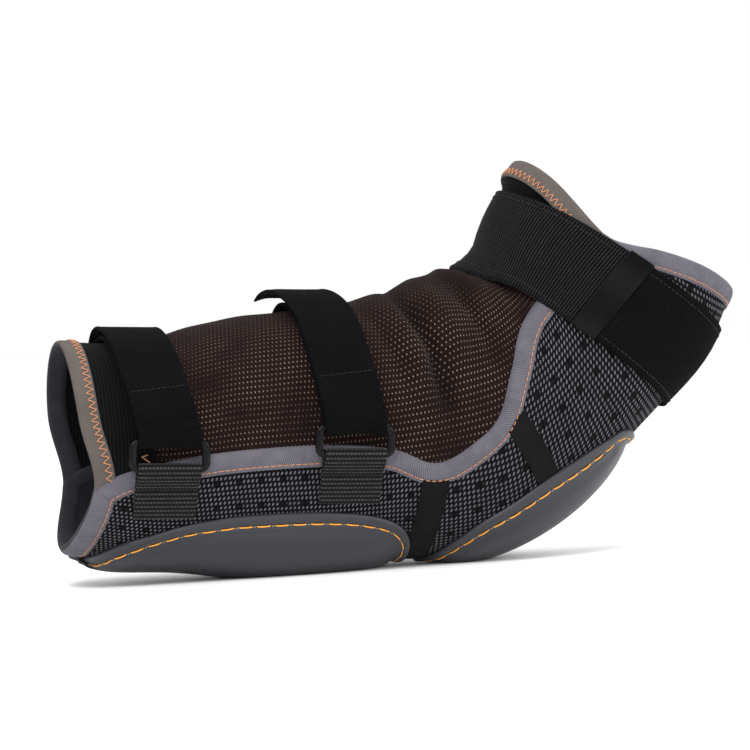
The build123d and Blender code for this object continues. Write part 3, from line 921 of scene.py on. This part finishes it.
def cap_rim(name, count):
    """The cap's rim as a closed loop of (s, phi), evenly spaced, and the s of its two tips."""
    tips, line = CAP_RIMS[name]
    s, phi = chart(line)
    tip_s = [np.interp(x, STATIONS[:, 2], np.arange(len(STATIONS))) for x in tips]
    near, far = both_sides(s, phi)
    loop = np.concatenate([[(tip_s[0], math.pi)], near, [(tip_s[1], math.pi)], far])
    loop = np.concatenate([loop[-3:], loop, loop[:4]])
    smooth = spline_rows(loop, np.linspace(3, len(loop) - 4, 2400))
    return resample(surface(*smooth.T), count + 1, smooth)[1][:-1], tip_s


def moulded_cap(name, material):
    """A cap with a flange, a stitched groove and a domed shield inside it, and its row of thread."""
    rim, tips = cap_rim(name, 360)
    inset = 0.16 * (tips[1] - tips[0])
    spine_s = np.interp(rim[:, 0], tips, (tips[0] + inset, tips[1] - inset))
    spine = np.stack([spine_s, np.full(len(rim), math.pi)], -1)
    reach = np.linalg.norm(surface(*rim.T) - surface(*spine.T), axis=-1)[:, None]
    edge_depth = np.minimum(CAP_INWARD[None], reach * 0.7)
    last = edge_depth[:, -1:]
    depth = np.concatenate([edge_depth, last + np.linspace(0, 1, 26)[None, 1:] * (reach - last)], 1)
    t = (depth / reach)[..., None]
    s, phi = (rim[:, None] * (1 - t) + spine[:, None] * t).T
    place, out = surface(s, phi), outward(s, phi)
    heights = cap_heights(cap_tree(f"{name}_cap"), place, out, FLANGE_HEIGHT)
    top = len(CAP_PROFILE)
    crest = heights + 0.4
    base = (heights[:top] - FLANGE_HEIGHT) * np.linspace(0, 1, top)[:, None] ** 1.5
    lift = np.concatenate([CAP_PROFILE[:, None] + base, crest[top:]])
    up_dome = ease((depth.T[top:] - GROOVE_END) / 6.0)
    lift[top:] = lift[top - 1] * (1 - up_dome) + crest[top:] * up_dome
    points = place + out * lift[..., None]
    points[..., 2] = np.maximum(points[..., 2], 0.0)
    rings, around = points.shape[:2]
    faces = grid_faces(rings, around, wrap=True).tolist()
    uv = np.stack([np.broadcast_to(np.arange(around), (rings, around)), depth.T], -1)
    piece = make(f"{name}_shield", points.reshape(-1, 3), faces, uv.reshape(-1, 2), material)
    row_out = out[THREAD_ROW]
    return piece, place[THREAD_ROW] + row_out * (lift[THREAD_ROW] - 0.05)[:, None], row_out


STITCH_PITCH = 10.8
for name, body in (("tendon", "cannon_section"), ("hock", "gaskin_section")):
    shield, path, ups = moulded_cap(name, CAP)
    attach(shield, body)
    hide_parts(f"{name}_cap", f"{name}_pad")
    path = np.concatenate([path, path[:2]])
    ups = np.concatenate([ups, ups[:2]])
    thread = stitches(
        f"{name}_saddle_stitch", path, ups, 9.7, STITCH_PITCH - 9.7, 0.44, AMBER, sink=0.4, rise=0.55)
    # Short light grey marks in the gaps between stitches: the notches are real, their light grey is a
    # painted highlight.
    notch_highlights = stitches(
        f"{name}_painted_notch_highlights", path, ups, 1.0, STITCH_PITCH - 1.0, 0.42, NOTCH_HIGHLIGHT, rise=0.3, first=10.85)
    for row in (thread, notch_highlights):
        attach(row, body)


# ---------------------------------------------------------------- seam tapes
TAPE_OUT = 1.9
FLEX_TAPE_WIDTH = 17.0
HOCK_TAPE_WIDTH = 15.5


def round_back(line, count):
    """A run from the near side, round the back of the leg, to the far side, at even steps."""
    run = np.concatenate(both_sides(*chart(curve(line, count))))
    return resample(surface(*run.T, TAPE_OUT), 2 * count, run)[1].T


def laid_tape(name, s, phi, width):
    """A ribbed tape laid on the panel along a run of places."""
    path, normal = surface(s, phi, TAPE_OUT), outward(s, phi)
    across = unit(np.cross(heading(path), normal))
    return tape(name, path, across, normal, width, 0.9, TAPE, lift=0.25)


s, phi = round_back([(106.8, 53.5), (105.5, 40), (103.5, 24), (102, 12), (101.3, 5.5)], 60)
flex_tape = laid_tape("flex_seam_tape_ribbed", s, phi, FLEX_TAPE_WIDTH)
bend_at_hock(flex_tape)
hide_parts("flex_seam_tape")

s, phi = chart(curve([(155.5, 86.5), (163, 76), (172, 63), (183, 47)], 50))
for k, turn in enumerate((phi, TAU - phi)):
    hock_tape = laid_tape(f"hock_seam_tape_{k + 1}", s, turn, HOCK_TAPE_WIDTH)
    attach(hock_tape, "gaskin_section")
    if k == 0:  # the two tapes are one node in the CAD
        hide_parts("hock_seam_tape")


# ---------------------------------------------------------------- strap loops, tabs and straps
JOINTS = {joint["name"]: joint for joint in frame["record"]["behaviour"]["joints"]}
TILT = math.radians(LOOP_TILT_DEG)
BAR_ALONG = np.array([math.cos(TILT), 0, -math.sin(TILT)])
BAR_UP = np.array([math.sin(TILT), 0, math.cos(TILT)])
BAR_OUT = np.array([0, -1.0, 0])


def bar_point(lower_bar, out, up):
    """Points in the plane across a loop, from its lower bar."""
    return lower_bar + np.outer(out, BAR_OUT) + np.outer(up, BAR_UP)


def signed_power(value, exponent):
    """A power that keeps the value's sign."""
    return np.sign(value) * np.abs(value) ** exponent


def loop_ring(name, lower_bar):
    """A moulded loop: two bars and two flatter, bowed sides."""
    middle = lower_bar + BAR_UP * BAR_SPACING / 2
    half_w, half_h, corner = (LOOP_WIDTH - 2 * BAR_RADIUS) / 2, BAR_SPACING / 2, 4.2
    path = []
    for cx, cy, start in ((1, 1, 0), (-1, 1, 90), (-1, -1, 180), (1, -1, 270)):
        turn = np.radians(np.linspace(start, start + 90, 12))
        path += zip(cx * (half_w - corner) + corner * np.cos(turn),
                    cy * (half_h - corner) + corner * np.sin(turn))
    path = resample(np.array(path + path[:1]), 161)[:-1]
    ahead = unit(np.roll(path, -1, 0) - np.roll(path, 1, 0))
    turn = np.linspace(0, TAU, 17)[:-1]
    cosines, sines = signed_power(np.cos(turn), 0.8), signed_power(np.sin(turn), 0.8)
    wide = 1 + 0.35 * np.clip((np.abs(path[:, 0]) - half_w + 2.5) / 2.5, 0, 1)
    rings = []
    for (x, y), (ax, ay), w in zip(path, ahead, wide):
        side = BAR_ALONG * ay - BAR_UP * ax
        ring = np.outer(cosines, side) * w + np.outer(sines, BAR_OUT)
        rings.append(middle + BAR_ALONG * x + BAR_UP * y + BAR_RADIUS * ring)
    return tube(name, np.array(rings), cloth_grid(turn, np.arange(len(rings))), GLOSS, closed=True)


def skin_out(lower_bar, up, offset):
    """How far out, from the lower bar, the sleeve grown by offset lies at some heights."""
    points = bar_point(lower_bar, np.zeros_like(up), up)
    s, phi = chart(points[:, [0, 2]])
    return -(surface(s, phi, offset)[:, 1] - lower_bar[1])


def loop_tab(name, lower_bar):
    """Webbing sewn down below the loop and folded over its lower bar."""
    radius = EYE + 0.85
    back_up = np.linspace(-22, -8, 8)
    back = np.stack([skin_out(lower_bar, back_up, 2.2), back_up], -1)
    turn = np.radians(np.linspace(200, -20, 26))
    fold = np.stack([radius * np.cos(turn), radius * np.sin(turn) + 0.4], -1)
    knee = [(fold[-1, 0] - 1.6, -4.5)]
    front_up = np.linspace(-11, -28.5, 14)
    front = np.stack([skin_out(lower_bar, front_up, 4.1), front_up], -1)
    line = np.concatenate([back, fold, knee, front])
    line = resample(spline_rows(line, np.linspace(0, len(line) - 1, 500)), 130)
    path = bar_point(lower_bar, line[:, 0], line[:, 1])
    across = np.tile(BAR_ALONG, (len(path), 1))
    normal = unit(np.cross(across, heading(path)))
    k = 60  # a place on the fold, where the normal is made to point out
    if (normal[k] @ BAR_OUT) < 0 and line[k, 0] > 0:
        normal = -normal
    return tape(name, path, across, normal, WEB_WIDTH, 1.6, WEBBING)


# For each strap, the lean of its middle line, and then what its free end does: the angle it reaches, its
# shift along the leg, its lift off the strap under it, and its droop.
STRAPS = {
    "lower": dict(lean=-0.13, end_phi=-0.60, shift=-1.0, lift=5.2, droop=1.0),
    "upper": dict(lean=-0.10, end_phi=-0.36, shift=-10.0, lift=7.6, droop=3.0),
}
OVER_BINDING = 3.9
TONGUE_OUT = 5.8
FOLD_RADIUS = EYE + STRAP_THICKNESS / 2
BEND_HALF = 0.0015  # half the distance between the points start and end, which lie either side of the peel joint, in metres
CROSS_STITCH_AT = 42.0  # how far from the bar's back the stitching across a free end lies


def square_across(path):
    """The direction across a strap, the bars' own but square to its run, and the strap's normal."""
    ahead = heading(path)
    across = unit(BAR_ALONG - ahead * (BAR_ALONG * ahead).sum(-1, keepdims=True))
    return across, unit(np.cross(ahead, across))


def above_bar(upper_bar, up):
    """The angle of the place on the sleeve that is up mm above a loop's upper bar."""
    return chart([(upper_bar[0], upper_bar[2] + up)])[1][0]


def strap_s(upper_bar, lean, phi):
    """The s of a strap's middle line at some angles."""
    x0, z0 = upper_bar[0], upper_bar[2]
    return crossing(lambda x, z: x - (x0 + lean * (z - z0)), phi, 0, 5)


def strap_tape(name, path, droop=0.0):
    """A strap of brushed cloth along a path, and its directions across and out."""
    across, normal = square_across(path)
    piece = tape(name, path, across, normal, WEB_WIDTH, STRAP_THICKNESS, STRAP, lift=0.25, droop=droop)
    return piece, across, normal


def strap_web(name, upper_bar, lean):
    """The strap from its sewn end, over the front and down to the back of the loop's upper bar."""
    low = above_bar(upper_bar, 1.0)
    phi = np.linspace(-2.25, low, 260)
    over = OVER_BINDING - 1.9 * ease((low - phi) / 0.45)
    offset = over + 1.6 * ease((-phi - 1.15) / 0.35) - 0.9 * ease((-phi - 1.75) / 0.2)
    bar_back = upper_bar - BAR_OUT * FOLD_RADIUS
    path = np.concatenate([surface(strap_s(upper_bar, lean, phi), phi, offset), [bar_back]])
    return strap_tape(f"{name}_strap_web", resample(path, 380))[0]


def strap_tongue(name, upper_bar, lean, end_phi, shift, lift, droop):
    """The strap's other half, from its free end: down over the first, and round the bar to its back."""
    turn = np.radians(np.linspace(180, 360, 24))
    fold = bar_point(upper_bar, FOLD_RADIUS * np.cos(turn), FOLD_RADIUS * np.sin(turn))
    stub = bar_point(upper_bar, np.full(5, FOLD_RADIUS), np.linspace(1.5, 7.5, 5))
    share = np.linspace(0, 1, 200)
    phi = np.linspace(above_bar(upper_bar, 9), end_phi, len(share))
    s = strap_s(upper_bar, lean, phi)
    per_mm = chart_step(s, phi, np.tile([1.0, 0, 0], (len(share), 1)))[0]
    near = 1 - ease(share / 0.3)
    away = ease((share - 0.5) / 0.5)
    run = surface(s + per_mm * shift * away, phi, TONGUE_OUT + 4.0 * near + lift * away)
    path = resample(np.concatenate([fold, stub, run]), 300)
    reach = 25  # how many places on either side the smoothing takes in
    kernel = np.hanning(2 * reach + 1)
    padded = np.pad(path[:, 0], reach, mode="reflect", reflect_type="odd")
    path[:, 0] = np.convolve(padded, kernel / kernel.sum(), "valid")
    path = path[::-1]
    hang = droop * ease(1 - np.linspace(0, 1, len(path)) / 0.18)
    piece, across, normal = strap_tape(f"{name}_strap_tongue", path, hang)
    return piece, path, across, normal


for name, values in STRAPS.items():
    swivel = JOINTS[f"{name}_loop_swivel"]["pos_m"]
    peel = np.array(JOINTS[f"{name}_strap_peel"]["pos_m"])
    lower_bar = np.array(swivel) / MM
    upper_bar = lower_bar + BAR_UP * BAR_SPACING
    ring = loop_ring(f"{name}_ring", lower_bar)
    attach(ring, f"{name}_loop")
    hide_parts(f"{name}_loop")

    tab = loop_tab(f"{name}_tab", lower_bar)
    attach(tab, "cannon_section")
    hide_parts(f"{name}_loop_tab")

    strap = strap_web(name, upper_bar, values["lean"])
    start, end = (swivel[0], -0.044, 0.1), (swivel[0], swivel[1] + 0.0028, 0.1)
    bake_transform(strap)
    strap["run"] * MM
    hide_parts(f"{name}_strap", f"{name}_strap_fold")

    flap, path, across, normal = strap_tongue(name, upper_bar, **values)
    start, end = tuple(peel - BEND_HALF * BAR_UP), tuple(peel + BEND_HALF * BAR_UP)
    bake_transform(flap)
    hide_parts(f"{name}_strap_bend", f"{name}_strap_flap", f"{name}_strap_hook")
    flap["run"] * MM

    k = int(np.searchsorted(lengths(path), flap["run"] - CROSS_STITCH_AT))
    line = path[k] + across[k] * np.linspace(-0.46, 0.46, 60)[:, None] * WEB_WIDTH
    ups = np.tile(normal[k], (60, 1))
    row = stitches(f"{name}_cross_stitch", line + ups * STRAP_THICKNESS / 2, ups, 2.2, 0.8, 0.2,
                   BLACK_THREAD, sink=0.12, rise=0.1)
    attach(row, f"{name}_flap")

s, phi = chart([(-65.2, 77.6), (-68.7, 76.7), (-63.9, 72.9)])
tack = zigzag("lower_bar_tack", surface(s, phi, 0.9), outward(s, phi), 0.4)
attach(tack, "cannon_section")


# ---------------------------------------------------------------- the wide closing strap
def wide_rails(phi):
    """The s of the wide strap's two edges at some angles."""
    return [crossing(edge, phi, 4, LAST + BEYOND) for edge in (ABOVE_LOWER, ABOVE_UPPER)]


def lane(m, phi):
    """The s of a lane of the wide strap, m of the way from its lower edge to its upper."""
    lower, upper = wide_rails(phi)
    return lower + m * (upper - lower)


def keeper_phi(m, distance):
    """The near-side angle at which each lane lies at a distance beyond the keeper's middle line."""
    phi = np.linspace(0.25, 3.0, 160)
    s = lane(np.asarray(m)[:, None], phi)
    place = surface(s, phi, 3.9)
    beyond = past(KEEPER_LINE)(place[..., 0], place[..., 2])
    return np.array([np.interp(distance, row, phi) for row in beyond])


def seat(s, phi):
    """How far off the sleeve the wide strap lies: pressed in at the front, and up over the binding."""
    turn = off_front(phi) - panel_phi(s)
    return 3.0 - (SQUEEZE + 1.7) * ease((-turn - 0.1) / 0.8) - 0.4 * ease((turn - 0.25) / 0.3)


def wide_band(name, low, high, offset, thickness, material, reach=1.0, rows=150):
    """A stretch of the wide strap between two angles given for each lane, at an offset from its seat.

    reach is the stretch's width, as a share of the strap's.
    """
    part = np.array([0, 0.004, 0.015, 0.035, 0.07, 0.12, 0.22, 0.35, 0.5])
    share = np.concatenate([part, 1 - part[-2::-1]])
    m = 0.5 + (share - 0.5) * reach
    a = np.linspace(0, 1, rows)[:, None]
    phi = low(m)[None] * (1 - a) + high(m)[None] * a
    s = lane(m[None], phi)
    edge = np.minimum(share, 1 - share)
    bead = 0.25 * np.exp(-((edge - 0.02) / 0.02) ** 2)
    crown = thickness * np.clip(np.sqrt(edge / 0.015), 0.35, 1) + bead
    base = offset + seat(s, phi)
    top = surface(s, phi, base + crown[None])
    under = surface(s, phi, base)
    across = lengths(top[rows // 2])
    along = lengths(top[:, len(share) // 2])
    uv = cloth_grid(np.concatenate([across, across[::-1]]), along)
    piece = tube(name, np.concatenate([top, under[:, ::-1]], 1), uv, material)
    piece["run"] = float(along[-1])
    return piece


def wide_row(name, m, low, high):
    """A row of stitches along a lane of the wide strap."""
    phi = np.linspace(low, high, 400)
    s = lane(m, phi)
    path, ups = surface(s, phi, seat(s, phi) + 1.95), outward(s, phi)
    return stitches(name, path, ups, 2.6, 0.9, 0.2, BLACK_THREAD, sink=0.12, rise=0.1)


elastic = wide_band(
    "wide_strap_elastic", lambda m: -keeper_phi(m, 8.0), lambda m: keeper_phi(m, 4.0), 0.0, 1.8, ELASTIC)
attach(elastic, "gaskin_section")
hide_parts("gaskin_strap_elastic")

KEEPER_REACH = 1.03
keeper = wide_band(
    "wide_strap_keeper", lambda m: keeper_phi(m, -8.5), lambda m: keeper_phi(m, 8.5), 1.85, 1.2, KEEPER,
    reach=KEEPER_REACH, rows=24)
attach(keeper, "gaskin_section")
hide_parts("gaskin_strap_keeper")

END_PHI = math.pi + 0.09
wide_end = wide_band(
    "wide_strap_end", lambda m: keeper_phi(m, 4.2), lambda m: np.full(len(m), END_PHI), 0.0, 1.8, STRAP)
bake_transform(wide_end)
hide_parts("gaskin_strap_bend", "gaskin_strap_end")

HOOK_REACH = 0.94
HOOK_PHI = END_PHI - 0.02
wide_hook = wide_band(
    "wide_strap_hook", lambda m: keeper_phi(m, 39), lambda m: np.full(len(m), HOOK_PHI), -1.1, 1.0, HOOK,
    reach=HOOK_REACH, rows=60)
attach(wide_hook, "gaskin_strap")
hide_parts("gaskin_strap_hook")

for k, m in enumerate((0.075, 0.925)):
    start = float(keeper_phi([m], 9)[0])
    row = wide_row(f"wide_end_stitch_{k + 1}", m, start, HOOK_PHI)
    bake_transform(row)
    row = wide_row(f"wide_elastic_stitch_{k + 1}", m, -1.6, start)
    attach(row, "gaskin_section")


# ---------------------------------------------------------------- floor, light and camera
floor_material = bpy.data.materials.new("plain_floor")
floor_material.use_nodes = True
shader = floor_material.node_tree.nodes["Principled BSDF"]
shader.inputs["Base Color"].default_value = (0.98, 0.98, 0.98, 1)
shader.inputs["Roughness"].default_value = 0.9
corners = [(x, y, FLOOR_Z) for x, y in ((-6000, -6000), (6000, -6000), (6000, 6000), (-6000, 6000))]
floor = make("floor", corners, [(0, 1, 2, 3)], None, floor_material, smooth=False)

LIGHTS_AIM = Vector((0.09, 0, 0.1))
LIGHTS = (  # name, place and size in metres, and power in watts
    ("key_light", (-0.7, -1.1, 1.5), 0.7, 24),
    ("fill_light", (1.3, -1.0, 0.7), 0.8, 12),
    ("top_light", (0.1, 0.2, 1.9), 1.0, 16),
)
for name, place, size, power in LIGHTS:
    light = bpy.data.lights.new(name, "AREA")
    light.size = size
    light.energy = power
    lamp = bpy.data.objects.new(name, light)
    bpy.context.scene.collection.objects.link(lamp)
    lamp.location = place
    lamp.rotation_euler = (LIGHTS_AIM - Vector(place)).to_track_quat("-Z", "Y").to_euler()
world = bpy.data.worlds.new("studio")
world.use_nodes = True
world.node_tree.nodes["Background"].inputs[0].default_value = (1, 1, 1, 1)
world.node_tree.nodes["Background"].inputs[1].default_value = 1.0
bpy.context.scene.world = world
bpy.context.scene.view_settings.view_transform = "Standard"

turn, drop, roll = (math.radians(a) for a in (-CAMERA_TURN_DEG, CAMERA_DROP_DEG, CAMERA_ROLL_DEG))
view = np.array([math.sin(turn) * math.cos(drop), math.cos(turn) * math.cos(drop), -math.sin(drop)])
level = np.array([math.cos(turn), -math.sin(turn), 0.0])
above = np.cross(level, view)
right = math.cos(roll) * level - math.sin(roll) * above
up = math.cos(roll) * above + math.sin(roll) * level
lens = bpy.data.cameras.new("camera")
lens.lens = CAMERA_LENS
lens.sensor_width = 36
lens.clip_end = 20
camera = bpy.data.objects.new("camera", lens)
bpy.context.scene.collection.objects.link(camera)
place = (np.array(CAMERA_TARGET) - CAMERA_DISTANCE * view) * MM
camera.matrix_world = Matrix([
    [right[i], up[i], -view[i], place[i]] for i in range(3)] + [[0, 0, 0, 1]])
bpy.context.scene.camera = camera

bpy.context.view_layer.update()
